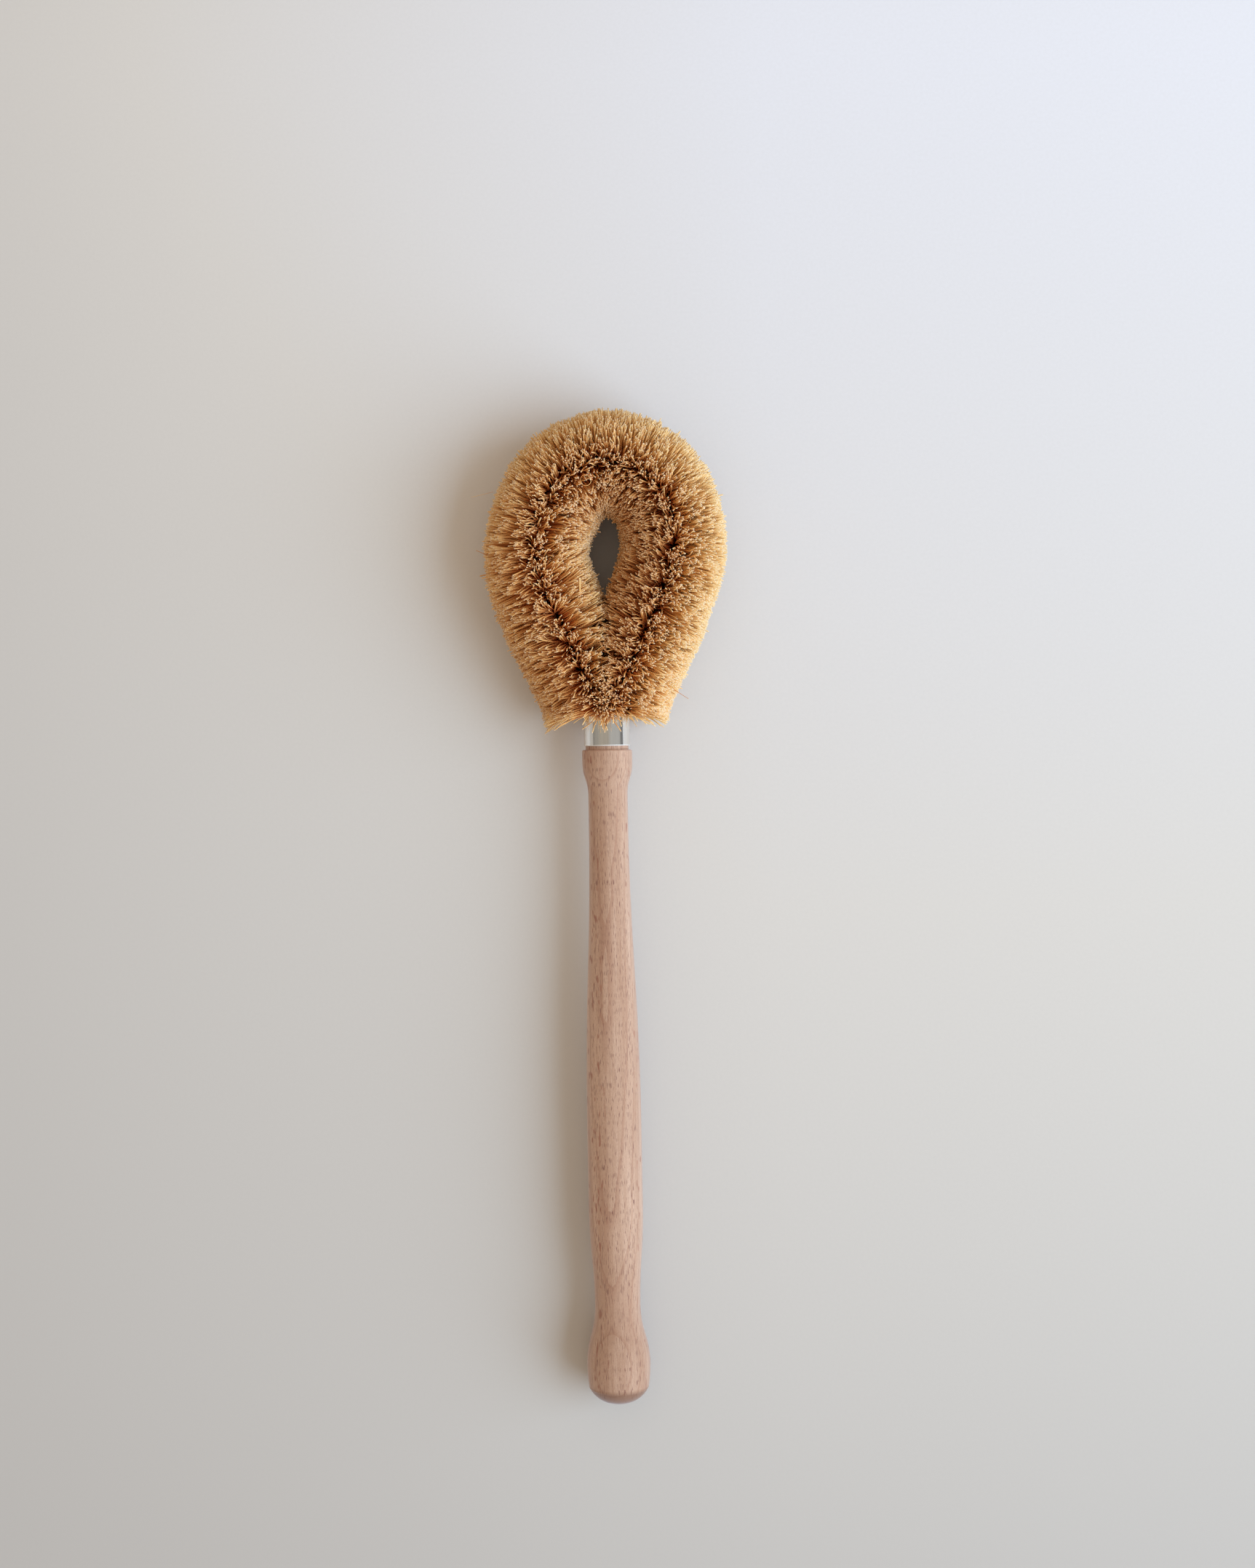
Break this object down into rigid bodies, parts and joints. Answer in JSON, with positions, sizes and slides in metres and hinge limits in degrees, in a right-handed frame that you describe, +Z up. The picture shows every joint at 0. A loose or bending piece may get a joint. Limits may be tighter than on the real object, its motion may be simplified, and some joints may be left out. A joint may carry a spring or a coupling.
{
  "type": "coconut fibre dish brush",
  "caption": "Long-handled dish brush: a teardrop ring of coconut fibre on twisted wire, in a steel ferrule on a turned beech handle.",
  "frame": {"origin": "on the surface that the brush lies on, under the middle of its length and width", "axes": "+Y along the handle towards the head, +Z up from the surface, +X across the loop"},
  "size_m": [0.0876, 0.3468, 0.0365],
  "materials": {
    "beech": "sanded bare beech, matt",
    "plated_steel": "bright plated sheet steel",
    "wire": "drawn galvanised wire",
    "coir": "loose golden brown coconut fibre, matt"
  },
  "bodies": {
    "root": {"handle": "beech", "ferrule": "plated_steel", "wire_strand_a": "wire", "wire_strand_b": "wire", "coir_bristles": "coir"}
  },
  "joints": []
}
